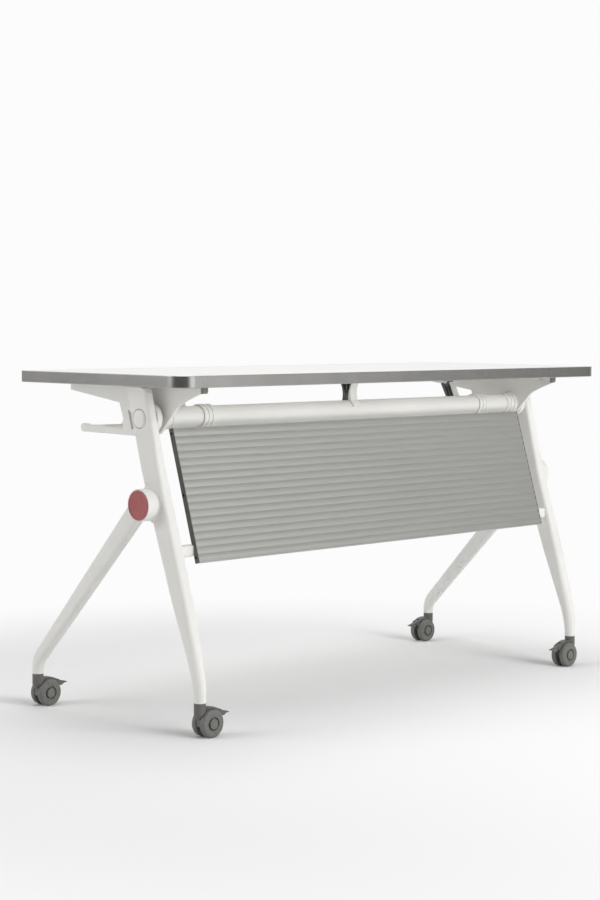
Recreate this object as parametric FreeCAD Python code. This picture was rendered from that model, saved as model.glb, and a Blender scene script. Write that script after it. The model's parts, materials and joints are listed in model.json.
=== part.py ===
"""Folding desk: flip-top training table on four braked casters, in millimetres.

X runs along the desk, -Y is the front with the modesty panel, +Y is the user's side,
Z is up and the origin lies on the floor under the middle of the worktop.
Side pieces are drawn at +X (right) and mirrored to -X (left).
"""
import FreeCAD, Part
import math
import os

V = FreeCAD.Vector
os.makedirs("parts", exist_ok=True)

# Worktop
TOP_LENGTH = 1400.0
TOP_DEPTH = 550.0
TOP_THICKNESS = 25.0
DESK_HEIGHT = 750.0
CORNER_RADIUS = 40.0
BAND_THICKNESS = 2.0
BAND_ROUND = 1.5
UNDERSIDE = DESK_HEIGHT - TOP_THICKNESS

# Flip axis, which is also the axis of the round beam
AXIS_Y = -80.0
AXIS_Z = UNDERSIDE - 70.0
FLIP_ANGLE = 85.0
RUN_GAP = 0.05

# Beam, pivot shafts and sleeves, by distance from the middle of the desk
BEAM_RADIUS = 22.5
BEAM_WALL = 2.5
BEAM_END = 478.0
SHAFT_PLUG_START = 400.0
SHAFT_RADIUS = 15.0
SHAFT_BORE_RADIUS = 10.0
SHAFT_BORE_END = 590.0
SHAFT_END = 628.0
SLEEVE_START = 478.6
SLEEVE_RADIUS = 22.5
BUSH_RADIUS = 18.0
BUSH_LENGTH = 24.0

# Index collars with raised rings, latch notches and the foot that carries the panel
COLLAR_START = 445.0
COLLAR_BASE_RADIUS = 24.6
RING_RADIUS = 26.2
RING_WIDTH = 8.5
RING_PITCH = 12.25
RING_COUNT = 3
NOTCH_FLOOR_RADIUS = 23.6
NOTCH_WIDTH = 10.0
FOOT_STEP = 4.0
FOOT_DEPTH = 8.0
FOOT_RISE = 9.0
FOOT_DROP = 15.0

# Front legs
LEG_INNER_X = 612.0
LEG_OUTER_X = 642.0
FRONT_LEG_X = 627.0
FRONT_STEM_Y = -254.0
LEG_END_Z = 74.0
# Height, centre X, centre Y, width along Y, thickness along X, corner radius
FRONT_LEG_STATIONS = (
    (LEG_END_Z, FRONT_LEG_X, FRONT_STEM_Y, 25.5, 25.5, 12.5),
    (108.0, FRONT_LEG_X, -252.5, 28.0, 26.5, 12.5),
    (140.0, FRONT_LEG_X, -245.5, 31.0, 27.5, 12.5),
    (200.0, FRONT_LEG_X, -226.5, 37.0, 29.0, 11.0),
    (284.0, FRONT_LEG_X, -198.0, 46.0, 30.0, 9.0),
    (476.0, 627.5, -133.0, 54.0, 29.0, 8.0),
    (548.0, 629.0, -111.0, 58.0, 26.0, 8.0),
    (655.0, 630.5, -83.0, 62.0, 23.0, 8.0),
    (DESK_HEIGHT, 630.5, -57.0, 66.0, 23.0, 8.0),
)
CURVED_STATIONS = 5
HEAD_TOP_Z = 721.0
HEAD_REAR_Y = -18.0
HEAD_REAR_ROUND = 12.0
# Rounding of the head's front corner: start, middle and end in Y and Z
HEAD_FRONT_ROUND = ((-81.0, HEAD_TOP_Z), (-95.5, 714.5), (-105.0, 693.0))

# Hub that joins the rear leg to the front leg
HUB_Y = -112.0
HUB_Z = 476.0
HUB_RADIUS = 34.0
HUB_SEAM_X = 647.0
HUB_FLARE = 5.2
HUB_ROOT_X = 615.0
HUB_FACE_X = 672.0
HUB_CAP_RADIUS = 31.7
HUB_CAP_SEAT = 4.0
HUB_CAP_RISE = 1.5
HUB_CAP_ROUND = 1.2
HUB_CAP_RIM = 3.0
HUB_CAP_DISH = 1.0
HUB_POCKET_RADIUS = 20.0
HUB_POCKET_FLOOR = 656.0
HUB_BOLT_RADIUS = 6.0
HUB_BOLT_END = 620.0

# Concave webs that ease the legs into the hub
GUSSET_RADIUS = 14.0
GUSSET_ROOT = 14.0
FRONT_GUSSET_HALF = 13.0
FRONT_GUSSET_ROUND = 7.0
REAR_GUSSET_HALF = 12.0
REAR_GUSSET_ROUND = 9.0

# Rear legs, by distance along a straight run from above the hub to the stem
REAR_LEG_X = 660.0
REAR_STEM_Y = 247.0
REAR_RUN_START = (HUB_Y, 480.0)
REAR_RUN_SLOPE = 46.5
REAR_THICKNESS = 26.0
REAR_TOP_WIDTH = 47.0
REAR_LOW_WIDTH = 30.0
REAR_BEND_RADIUS = 55.0
REAR_BEND_STEPS = 4
STEM_WIDTH = 25.0

# Pivot bolts and caps in the leg heads
PIVOT_POCKET_FLOOR = 633.0
PIVOT_POCKET_RADIUS = 21.0
PIVOT_CAP_RADIUS = 19.5
PIVOT_CAP_BACK = 639.0
PIVOT_CAP_FACE = 645.0
PIVOT_CAP_WALL = 3.0
PIVOT_BOLT_RADIUS = 5.0
PIVOT_BOLT_END = 602.0

# Modesty panel, from the crest line at its top edge, leaning forward at the bottom
PANEL_TOP = (-114.0, 635.0)
PANEL_LEAN = 16.9
PANEL_HEIGHT = 291.5
PANEL_END_X = 578.5
PANEL_CAP_LENGTH = 8.5
PANEL_COVER = 1.2
PANEL_SKIN = 2.5
PANEL_DEPTH = 13.0
RIB_COUNT = 18
RIB_RISE = 1.3
PANEL_EDGE = 2.6
PANEL_SCREW_DROPS = (11.0, 144.5, 279.0)
PANEL_SCREW_RADIUS = 3.4
PANEL_SCREW_RECESS = 3.0
LUG_HEIGHT = 379.5
LUG_CENTRE_Y = -171.0
LUG_WIDTH = 20.0
LUG_THICK = 25.0
TAB_DEPTH = 32.0
TAB_DROPS = (250.0, 270.0)

# Flip brackets under the worktop
FLANGE_INNER_X = 573.0
WING_INNER_X = 583.0
WEB_INNER_X = 589.5
WEB_OUTER_X = 596.0
BOSS_RADIUS = 32.0
BOSS_PLATE_X = 579.3
BOSS_PLATE_RADIUS = 29.0
BOSS_NECK_RADIUS = 20.5
BOSS_DISC_X = 603.0
BOSS_FACE_X = 617.4
BOSS_ROUND = 3.0
# Ring on the sleeve beside the web, with one groove
RING_START_X = 556.0
RING_GROOVE_X = 567.0
RING_GROOVE_WIDTH = 3.0
RING_GROOVE_DEPTH = 1.3
SLEEVE_RING_RADIUS = 25.2
FLANGE_THICKNESS = 6.0
BRACKET_FRONT_Y = -218.0
BRACKET_REAR_Y = 207.0
FIN_TIP = 15.0
WING_TIP = 18.0
WING_FRONT_Y = -50.0
WING_FULL_Y = 15.0
BUMPER_LENGTH = 8.0
BUMPER_HEIGHT = 15.0
BUMPER_INNER_X = 579.5
BUMPER_OUTER_X = 591.5

# Bag hooks cast on the brackets
HOOK_ARM_TOP = 631.0
HOOK_HEEL_RISE = 5.5
HOOK_ARM_LOW = 614.0
HOOK_TIP_Y = 172.0
HOOK_ROOT_Y = -14.0
HOOK_BEVEL = 11.0
HOOK_SLOT_RADIUS = 4.0
HOOK_SLOT_ENDS = ((-3.0, 631.0), (13.0, 689.0))
HOOK_SLOT_DEPTH = 9.0

# Release handles behind the index collars
HANDLE_X = COLLAR_START + RING_PITCH + RING_WIDTH / 2
HANDLE_WIDTH = 16.0
BLADE_FRONT = -9.0
BLADE_BACK = 12.0
BLADE_TOP_BACK = 18.0
POCKET_DEPTH = 5.0
HINGE_Y = 15.0
HINGE_Z = 711.0
HINGE_PIN_RADIUS = 3.0
HINGE_BARREL_RADIUS = 6.5
PAWL_WIDTH = 7.0
PAWL_TIP_RADIUS = RING_RADIUS + 0.5
PAWL_TIP_WIDTH = 7.0
EAR_THICKNESS = 3.5
EAR_GAP = 0.5
MOUNT_PLATE = 4.0
MOUNT_SCREW_STEP = 7.0
MOUNT_SCREW_Y = HINGE_Y + 18

# Saddle under the middle of the worktop
SADDLE_WIDTH = 22.0
SADDLE_TOP_HALF = 24.5
SADDLE_WAIST_HALF = 13.0
SADDLE_GAP = 0.4
SADDLE_SKIN = 4.0
SADDLE_LIP_ANGLES = (105.0, 160.0)
SADDLE_POCKET = 7.0

# Screws into the worktop
SCREW_RADIUS = 2.5
SCREW_LENGTH = 17.0
SCREW_HEAD_RADIUS = 4.5
SCREW_HEAD_HEIGHT = 2.6
BRACKET_SCREW_X = 578.5
BRACKET_SCREW_YS = (-190.0, -110.0, 60.0, 180.0)

# Casters
WHEEL_RADIUS = 29.5
CASTER_TRAIL = 22.0
CASTER_WIDTH = 42.0
WEB_HALF = 5.5
WHEEL_INNER = 6.0
WHEEL_FACE = 19.5
WHEEL_DISH = 4.0
WHEEL_DISC_RADIUS = 11.0
AXLE_RADIUS = 4.0
AXLE_BOSS_RADIUS = 13.0
AXLE_HALF = 18.5
HOOD_HALF_WIDTH = 7.5
HOOD_GAP = 0.9
NECK_RADIUS = 12.5
NECK_TOP_Z = 71.7
NECK_LOW_Z = 50.0
NECK_TIP_Z = 40.0
NECK_TIP_RADIUS = 7.0
STEM_RADIUS = 5.5
STEM_TOP_Z = 110.0
SOCKET_RADIUS = 9.0
SOCKET_TOP_Z = 112.0
SOCKET_FLANGE_Z = 72.0
# Fin and pedal points in the plane of the wheels are measured from the wheels' centre
PEDAL_PIVOT = (27.5, 20.5)
PEDAL_HALF_WIDTH = 4.5
PEDAL_BARREL_RADIUS = 5.0
PEDAL_SLOT_HALF = 4.8
PEDAL_SLOT_LOW = (17.5, 8.0)
PEDAL_EAR_RADIUS = 6.5
TRUNNION_RADIUS = 2.0


def rod_x(start, end, radius, y=AXIS_Y, z=AXIS_Z):
    """Round bar along X."""
    return Part.makeCylinder(radius, end - start, V(start, y, z), V(1, 0, 0))


def rod_y(start, end, radius, x, z):
    """Round bar along Y."""
    return Part.makeCylinder(radius, end - start, V(x, start, z), V(0, 1, 0))


def rod_z(start, end, radius, x, y):
    """Round bar along Z."""
    return Part.makeCylinder(radius, end - start, V(x, y, start), V(0, 0, 1))


def block(low, high):
    """Box between two corners."""
    size = V(*high) - V(*low)
    return Part.makeBox(size.x, size.y, size.z, V(*low))


def outline(start, steps, place):
    """Closed face from a start point, lines (end,) and arcs (middle, end) in the place's plane."""
    at = start
    edges = []
    for step in steps:
        end = step[-1]
        if len(step) == 2:
            edges.append(Part.Arc(place(*at), place(*step[0]), place(*end)).toShape())
        else:
            edges.append(Part.LineSegment(place(*at), place(*end)).toShape())
        at = end
    return Part.Face(Part.Wire(edges))


def plate_x(start, steps, x_from, x_to):
    """Outline in Y and Z, extruded along X."""
    face = outline(start, steps, lambda y, z: V(x_from, y, z))
    return face.extrude(V(x_to - x_from, 0, 0))


def plate_y(start, steps, y_from, y_to):
    """Outline in X and Z, extruded along Y."""
    face = outline(start, steps, lambda x, z: V(x, y_from, z))
    return face.extrude(V(0, y_to - y_from, 0))


def turned(profile, base, axis, across):
    """Solid of revolution from (along, radius) points and arcs about an axis through base."""
    along_dir = V(*axis)
    across_dir = V(*across)
    place = lambda along, radius: V(*base) + along_dir * along + across_dir * radius
    return outline(profile[0], profile[1], place).revolve(V(*base), along_dir, 360)


def ring_profile(*points):
    """Closed straight-edged profile for a turned piece."""
    return points[0], tuple((point,) for point in points[1:] + points[:1])


def rounded_section(centre, across, along, width, depth, radius):
    """Rounded rectangle of lines and arcs around a centre, in the plane of two directions."""
    half_w = width / 2
    half_d = depth / 2
    place = lambda a, b: centre + across * a + along * b
    edges = []
    for quarter in range(4):
        turn = math.radians(90 * quarter)
        size = (half_w, half_d) if quarter % 2 == 0 else (half_d, half_w)
        cos, sin = round(math.cos(turn)), round(math.sin(turn))
        spin = lambda a, b: place(a * cos - b * sin, a * sin + b * cos)
        corner = (size[0] - radius, size[1] - radius)
        bend = radius * math.sqrt(0.5)
        edges.append(Part.LineSegment(spin(size[0], -corner[1]), spin(size[0], corner[1])).toShape())
        edges.append(Part.Arc(spin(size[0], corner[1]),
                              spin(corner[0] + bend, corner[1] + bend),
                              spin(corner[0], size[1])).toShape())
    return Part.Wire(edges)


def polar(radius, angle, y=AXIS_Y, z=AXIS_Z):
    """Point in Y and Z at a radius and an angle from +Y towards +Z."""
    return y + radius * math.cos(math.radians(angle)), z + radius * math.sin(math.radians(angle))


def soften(shape, radius, chosen):
    """Fillet the edges that the test chooses."""
    return shape.makeFillet(radius, [edge for edge in shape.Edges if chosen(edge)])


def mirrored(shape):
    """The same piece on the other side of the desk."""
    return shape.mirror(V(0, 0, 0), V(1, 0, 0))


def export(name, *solids):
    """Write a node's solids to one file."""
    shape = solids[0] if len(solids) == 1 else Part.makeCompound(list(solids))
    shape.exportStep("parts/%s.step" % name)


def both_sides(name, right):
    """Write the right piece and its mirrored left twin."""
    export("right_" + name, right)
    export("left_" + name, mirrored(right))


def worktop_slab(inset, low, high):
    """Slab with rounded corners, inset from the worktop's outline."""
    radius = CORNER_RADIUS - inset
    wire = rounded_section(V(0, 0, low), V(1, 0, 0), V(0, 1, 0),
                           TOP_LENGTH - 2 * inset, TOP_DEPTH - 2 * inset, radius)
    return Part.Face(wire).extrude(V(0, 0, high - low))


def screw(x, y, seat):
    """Pan-head screw up into the worktop, with its head under the seat."""
    chamfer = SCREW_HEAD_HEIGHT / 2
    crown = (-SCREW_HEAD_HEIGHT, SCREW_HEAD_RADIUS - chamfer)
    head = turned(ring_profile((0, 0), (-SCREW_HEAD_HEIGHT, 0), crown,
                               (-chamfer, SCREW_HEAD_RADIUS), (0, SCREW_HEAD_RADIUS)),
                  (x, y, seat), (0, 0, 1), (1, 0, 0))
    return head.fuse(rod_z(seat, seat + SCREW_LENGTH, SCREW_RADIUS, x, y)).removeSplitter()


def screw_places():
    """X, Y and seat height of every screw into the worktop."""
    flange_seat = UNDERSIDE - FLANGE_THICKNESS
    mount_seat = UNDERSIDE - MOUNT_PLATE
    places = []
    for side in (-1, 1):
        places += [(side * BRACKET_SCREW_X, y, flange_seat) for y in BRACKET_SCREW_YS]
        places += [(side * (HANDLE_X + step), MOUNT_SCREW_Y, mount_seat)
                   for step in (-MOUNT_SCREW_STEP, MOUNT_SCREW_STEP)]
    return places


def worktop():
    """Board, edge band and the screws that hold the ironwork under it."""
    board = worktop_slab(BAND_THICKNESS, UNDERSIDE, DESK_HEIGHT)
    screws = [screw(*place) for place in screw_places()]
    for x, y, seat in screw_places():
        pilot = rod_z(UNDERSIDE, seat + SCREW_LENGTH + 1, SCREW_RADIUS + RUN_GAP, x, y)
        board = board.cut(pilot)
    band = worktop_slab(0, UNDERSIDE, DESK_HEIGHT)
    band = soften(band, BAND_ROUND, lambda edge: edge.BoundBox.ZLength < 1)
    band = band.cut(worktop_slab(BAND_THICKNESS, UNDERSIDE, DESK_HEIGHT))
    export("tabletop_board", board)
    export("tabletop_edge_band", band)
    export("top_screws", *screws)


def beam():
    """Round beam, pivot shafts plugged into its ends and the bushes that run on them."""
    bore = BEAM_RADIUS - BEAM_WALL
    tube = rod_x(-BEAM_END, BEAM_END, BEAM_RADIUS).cut(rod_x(-BEAM_END, BEAM_END, bore))
    export("crossbeam", tube)
    shaft = rod_x(SHAFT_PLUG_START, BEAM_END, bore - RUN_GAP).fuse(rod_x(BEAM_END, SHAFT_END, SHAFT_RADIUS))
    shaft = shaft.cut(rod_x(SHAFT_PLUG_START, SHAFT_BORE_END, SHAFT_BORE_RADIUS))
    shaft = shaft.cut(rod_x(SHAFT_BORE_END, SHAFT_END, PIVOT_BOLT_RADIUS + RUN_GAP))
    both_sides("pivot_shaft", shaft)
    bushes = []
    for start in (SLEEVE_START, BOSS_FACE_X - BUSH_LENGTH):
        bush = rod_x(start, start + BUSH_LENGTH, BUSH_RADIUS)
        bush = bush.cut(rod_x(start, start + BUSH_LENGTH, SHAFT_RADIUS + RUN_GAP))
        bushes += [bush, mirrored(bush)]
    export("pivot_bushes", *bushes)


def panel_place(depth, drop, x=0.0):
    """Point at a depth behind the panel's crest plane and a drop down from its top edge."""
    lean = math.radians(PANEL_LEAN)
    y = PANEL_TOP[0] + depth * math.cos(lean) - drop * math.sin(lean)
    z = PANEL_TOP[1] - depth * math.sin(lean) - drop * math.cos(lean)
    return V(x, y, z)


def pawl_angle():
    """Angle on the collar where the latch tooth moves straight in and out."""
    reach = math.hypot(HINGE_Y - AXIS_Y, HINGE_Z - AXIS_Z)
    rise = math.degrees(math.atan2(HINGE_Z - AXIS_Z, HINGE_Y - AXIS_Y))
    return rise - math.degrees(math.acos(PAWL_TIP_RADIUS / reach))


def index_collar():
    """Clamp collar with raised rings, a latch notch for each end of the flip and a panel foot."""
    end = COLLAR_START + RING_PITCH * (RING_COUNT - 1) + RING_WIDTH
    collar = rod_x(COLLAR_START, end, COLLAR_BASE_RADIUS)
    for ring in range(RING_COUNT):
        start = COLLAR_START + ring * RING_PITCH
        collar = collar.fuse(rod_x(start, start + RING_WIDTH, RING_RADIUS))
    front = PANEL_DEPTH + FOOT_STEP
    back = front + FOOT_DEPTH
    foot = outline(*ring_profile((PANEL_DEPTH, 0), (front, 0), (front, -FOOT_RISE), (back, -FOOT_RISE),
                                 (back, FOOT_DROP), (PANEL_DEPTH, FOOT_DROP)),
                   lambda depth, drop: panel_place(depth, drop, COLLAR_START))
    collar = collar.fuse(foot.extrude(V(end - COLLAR_START, 0, 0)))
    collar = collar.cut(rod_x(COLLAR_START, end, BEAM_RADIUS + RUN_GAP))
    for flip in (0, FLIP_ANGLE):
        slot = block((HANDLE_X - RING_WIDTH / 2, AXIS_Y + NOTCH_FLOOR_RADIUS, AXIS_Z - NOTCH_WIDTH / 2),
                     (HANDLE_X + RING_WIDTH / 2, AXIS_Y + RING_RADIUS + 2, AXIS_Z + NOTCH_WIDTH / 2))
        slot.rotate(V(0, AXIS_Y, AXIS_Z), V(1, 0, 0), pawl_angle() + flip)
        collar = collar.cut(slot)
    both_sides("index_collar", collar.removeSplitter())


def modesty_panel():
    """Ribbed sheet with returned edges, its end caps and their screws."""
    pitch = (PANEL_HEIGHT - 2 * PANEL_EDGE) / RIB_COUNT
    radius = (pitch ** 2 / 4 + RIB_RISE ** 2) / (2 * RIB_RISE)
    half_angle = math.asin(pitch / 2 / radius)
    inner_half = (radius - PANEL_SKIN) * math.sin(half_angle)
    inner_valley = RIB_RISE + PANEL_SKIN * math.cos(half_angle)
    steps = [((0, PANEL_EDGE),), ((RIB_RISE, PANEL_EDGE),)]
    for rib in range(RIB_COUNT):
        top = PANEL_EDGE + rib * pitch
        steps.append(((0, top + pitch / 2), (RIB_RISE, top + pitch)))
    bottom = PANEL_HEIGHT - PANEL_EDGE
    steps += [((0, bottom),), ((0, PANEL_HEIGHT),), ((PANEL_DEPTH, PANEL_HEIGHT),)]
    steps += [((PANEL_DEPTH, PANEL_HEIGHT - PANEL_SKIN),)]
    steps += [((inner_valley, PANEL_HEIGHT - PANEL_SKIN),)]
    for rib in reversed(range(RIB_COUNT)):
        middle = PANEL_EDGE + (rib + 0.5) * pitch
        steps.append(((inner_valley, middle + inner_half),))
        steps.append(((PANEL_SKIN, middle), (inner_valley, middle - inner_half)))
    steps += [((inner_valley, PANEL_SKIN),), ((PANEL_DEPTH, PANEL_SKIN),), ((PANEL_DEPTH, 0),), ((0, 0),)]
    sheet_end = PANEL_END_X - PANEL_COVER
    sheet = outline((0, 0), steps, lambda depth, drop: panel_place(depth, drop, -sheet_end))
    export("modesty_panel", sheet.extrude(V(2 * sheet_end, 0, 0)))

    cap_start = PANEL_END_X - PANEL_CAP_LENGTH
    low = PANEL_HEIGHT - PANEL_SKIN
    cap = outline((inner_valley, PANEL_SKIN),
                  (((PANEL_DEPTH, PANEL_SKIN),), ((PANEL_DEPTH, TAB_DROPS[0]),), ((TAB_DEPTH, TAB_DROPS[0]),),
                   ((TAB_DEPTH, TAB_DROPS[1]),), ((PANEL_DEPTH, TAB_DROPS[1]),), ((PANEL_DEPTH, low),),
                   ((inner_valley, low),), ((inner_valley, PANEL_SKIN),)),
                  lambda depth, drop: panel_place(depth, drop, cap_start))
    cover = outline(*ring_profile((0, 0), (PANEL_DEPTH, 0), (PANEL_DEPTH, PANEL_HEIGHT), (0, PANEL_HEIGHT)),
                    lambda depth, drop: panel_place(depth, drop, sheet_end))
    cap = cap.extrude(V(PANEL_CAP_LENGTH, 0, 0)).fuse(cover.extrude(V(PANEL_COVER, 0, 0))).removeSplitter()
    screws = []
    for drop in PANEL_SCREW_DROPS:
        seat = panel_place((inner_valley + PANEL_DEPTH) / 2, drop, cap_start)
        cap = cap.cut(Part.makeCylinder(PANEL_SCREW_RADIUS + RUN_GAP, PANEL_CAP_LENGTH, seat, V(1, 0, 0)))
        plug = Part.makeCylinder(PANEL_SCREW_RADIUS, PANEL_CAP_LENGTH - 0.5, seat, V(1, 0, 0))
        recess = seat + V(PANEL_CAP_LENGTH - PANEL_SCREW_RECESS, 0, 0)
        plug = plug.cut(Part.makeCylinder(PANEL_SCREW_RADIUS / 2, PANEL_SCREW_RECESS, recess, V(1, 0, 0)))
        screws += [plug, mirrored(plug)]
    both_sides("panel_end", cap)
    export("panel_screws", *screws)


def gusset(edge_top, edge_low, side, middle_x, half, rounding):
    """Concave web that eases a leg's straight edge into the round of the hub."""
    hub = V(0, HUB_Y, HUB_Z)
    reach = HUB_RADIUS + GUSSET_RADIUS
    down = edge_low - edge_top
    down.normalize()
    out = V(0, -down.z, down.y) * side
    offset = (edge_top - hub).dot(out) + GUSSET_RADIUS
    centre = hub + out * offset + down * math.sqrt(reach ** 2 - offset ** 2)
    on_hub = hub + (centre - hub) * (HUB_RADIUS / reach)
    on_edge = centre - out * GUSSET_RADIUS
    bow = (on_hub + on_edge) * 0.5 - centre
    middle = centre + bow * (GUSSET_RADIUS / bow.Length)
    root = on_edge - out * GUSSET_ROOT
    start, turn, bend, end, back = [(point.y, point.z) for point in (hub, on_hub, middle, on_edge, root)]
    web = plate_x(start, ((turn,), (bend, end), (back,), (start,)), middle_x - half, middle_x + half)
    return soften(web, rounding, lambda edge: isinstance(edge.Curve, Part.Circle))


def front_leg():
    """Cast front leg: tapered blade, rounded head on the pivot, hub boss and panel lug."""
    sections = [rounded_section(V(x, y, height), V(1, 0, 0), V(0, 1, 0), thick, width, corner)
                for height, x, y, width, thick, corner in FRONT_LEG_STATIONS]
    blade = Part.makeLoft(sections[:CURVED_STATIONS], True, False)
    blade = blade.fuse(Part.makeLoft(sections[CURVED_STATIONS - 1:], True, True))
    rear_corner = (HEAD_REAR_Y - HEAD_REAR_ROUND, HEAD_TOP_Z - HEAD_REAR_ROUND)
    front_start, front_middle, front_end = HEAD_FRONT_ROUND
    keep = plate_x((-400, 0), (((HEAD_REAR_Y, 0),), ((HEAD_REAR_Y, rear_corner[1]),),
                               (polar(HEAD_REAR_ROUND, 45, *rear_corner), (rear_corner[0], HEAD_TOP_Z)),
                               (front_start,), (front_middle, front_end),
                               ((-400, front_end[1]),), ((-400, 0),)), LEG_INNER_X - 30, LEG_OUTER_X + 30)
    leg = blade.common(keep)
    flare_foot = HUB_SEAM_X - HUB_FLARE
    flare_mid = HUB_FLARE * (1 - math.sqrt(0.5))
    barrel = rod_x(HUB_ROOT_X, HUB_SEAM_X, HUB_RADIUS, HUB_Y, HUB_Z)
    flare = turned(((flare_foot, 0), (((flare_foot, HUB_RADIUS + HUB_FLARE),),
                                      ((flare_foot + flare_mid, HUB_RADIUS + flare_mid),
                                       (HUB_SEAM_X, HUB_RADIUS)),
                                      ((HUB_SEAM_X, 0),), ((flare_foot, 0),))),
                   (0, HUB_Y, HUB_Z), (1, 0, 0), (0, 1, 0))
    beside = blade.copy()
    beside.translate(V(2 * HUB_FLARE, 0, 0))
    edge_low, edge_top = [V(0, y + width / 2, height)
                          for height, x, y, width, thick, corner in FRONT_LEG_STATIONS[4:6]]
    leg = leg.fuse(gusset(edge_top, edge_low, 1, FRONT_LEG_X, FRONT_GUSSET_HALF, FRONT_GUSSET_ROUND))
    leg = leg.fuse([barrel, flare.common(beside)])
    lug_section = rounded_section(V(PANEL_END_X, LUG_CENTRE_Y, LUG_HEIGHT), V(0, 1, 0), V(0, 0, 1),
                                  LUG_WIDTH, LUG_THICK, 6.0)
    leg = leg.fuse(Part.Face(lug_section).extrude(V(FRONT_LEG_X - PANEL_END_X, 0, 0)))
    leg = leg.cut(rod_x(LEG_INNER_X - 5, SHAFT_END, SHAFT_RADIUS + RUN_GAP))
    leg = leg.cut(rod_x(SHAFT_END, PIVOT_POCKET_FLOOR, PIVOT_BOLT_RADIUS + RUN_GAP))
    leg = leg.cut(rod_x(PIVOT_POCKET_FLOOR, LEG_OUTER_X + 5, PIVOT_POCKET_RADIUS))
    leg = leg.cut(rod_x(HUB_BOLT_END - 2, HUB_SEAM_X, HUB_BOLT_RADIUS + RUN_GAP, HUB_Y, HUB_Z))
    leg = leg.cut(rod_z(LEG_END_Z, SOCKET_TOP_Z + 1, SOCKET_RADIUS + RUN_GAP, FRONT_LEG_X, FRONT_STEM_Y))
    both_sides("front_leg", leg)


def rear_leg():
    """Tapered rear leg, bent upright over its caster, with the barrel that bolts to the front leg."""
    flat = V(1, 0, 0)
    bend_y = REAR_STEM_Y - REAR_BEND_RADIUS
    drop = math.tan(math.radians(REAR_RUN_SLOPE))
    corner_z = REAR_RUN_START[1] - (REAR_STEM_Y - REAR_RUN_START[0]) * drop
    half_turn = math.radians(90 - REAR_RUN_SLOPE) / 2
    bend_z = corner_z - REAR_BEND_RADIUS * math.tan(half_turn)

    def section(turn, width, thick, corner, reach=0.0):
        """Section square to the leg at a turn of the bend, or further up the straight run."""
        out = V(0, math.cos(turn), math.sin(turn))
        up = V(0, -math.sin(turn), math.cos(turn))
        centre = V(REAR_LEG_X, bend_y, bend_z) + out * REAR_BEND_RADIUS + up * reach
        return rounded_section(centre, flat, out, thick, width, corner)

    turn = 2 * half_turn
    run = (HUB_Y - bend_y - REAR_BEND_RADIUS * math.cos(turn)) / -math.sin(turn)
    top = section(turn, REAR_TOP_WIDTH, REAR_THICKNESS, 11.0, run)
    bends = []
    for step in range(REAR_BEND_STEPS + 1):
        share = step / REAR_BEND_STEPS
        width = REAR_LOW_WIDTH + (STEM_WIDTH - REAR_LOW_WIDTH) * share
        thick = REAR_THICKNESS + (STEM_WIDTH - REAR_THICKNESS) * share
        corner = 11.0 + (STEM_WIDTH / 2 - 0.2 - 11.0) * share
        bends.append(section(turn * (1 - share), width, thick, corner))
    leg = Part.makeLoft([top, bends[0]], True, True).fuse(Part.makeLoft(bends, True, False))
    stem = Part.Face(bends[-1]).extrude(V(0, 0, LEG_END_Z - bend_z))
    leg = leg.fuse(stem)
    leg = leg.fuse(rod_x(HUB_SEAM_X, HUB_FACE_X, HUB_RADIUS, HUB_Y, HUB_Z))
    under = V(0, -math.cos(turn), -math.sin(turn))
    bend_top = V(0, bend_y, bend_z) - under * REAR_BEND_RADIUS
    edge_low = bend_top + under * (REAR_LOW_WIDTH / 2)
    edge_top = bend_top + V(0, -math.sin(turn), math.cos(turn)) * run + under * (REAR_TOP_WIDTH / 2)
    leg = leg.fuse(gusset(edge_top, edge_low, -1, REAR_LEG_X, REAR_GUSSET_HALF, REAR_GUSSET_ROUND))
    leg = leg.cut(rod_x(HUB_FACE_X - HUB_CAP_SEAT, HUB_FACE_X + 5, HUB_CAP_RADIUS + 0.2, HUB_Y, HUB_Z))
    leg = leg.cut(rod_x(HUB_POCKET_FLOOR, HUB_FACE_X + 5, HUB_POCKET_RADIUS, HUB_Y, HUB_Z))
    leg = leg.cut(rod_x(HUB_SEAM_X - 5, HUB_FACE_X, HUB_BOLT_RADIUS + RUN_GAP, HUB_Y, HUB_Z))
    leg = leg.cut(rod_z(LEG_END_Z, SOCKET_TOP_Z + 1, SOCKET_RADIUS + RUN_GAP, REAR_LEG_X, REAR_STEM_Y))
    both_sides("rear_leg", leg)


def bolt(seat, end, radius, head_radius, head_height, y, z):
    """Cap screw along X with a hexagon socket, pointing at the middle of the desk."""
    shank = rod_x(end, seat, radius, y, z)
    head = rod_x(seat, seat + head_height, head_radius, y, z)
    corners = [V(seat + head_height / 2, *polar(radius * 0.8, 60 * side, y, z)) for side in range(6)]
    socket = Part.Face(Part.makePolygon(corners + corners[:1])).extrude(V(head_height, 0, 0))
    return shank.fuse(head).cut(socket)


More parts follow.
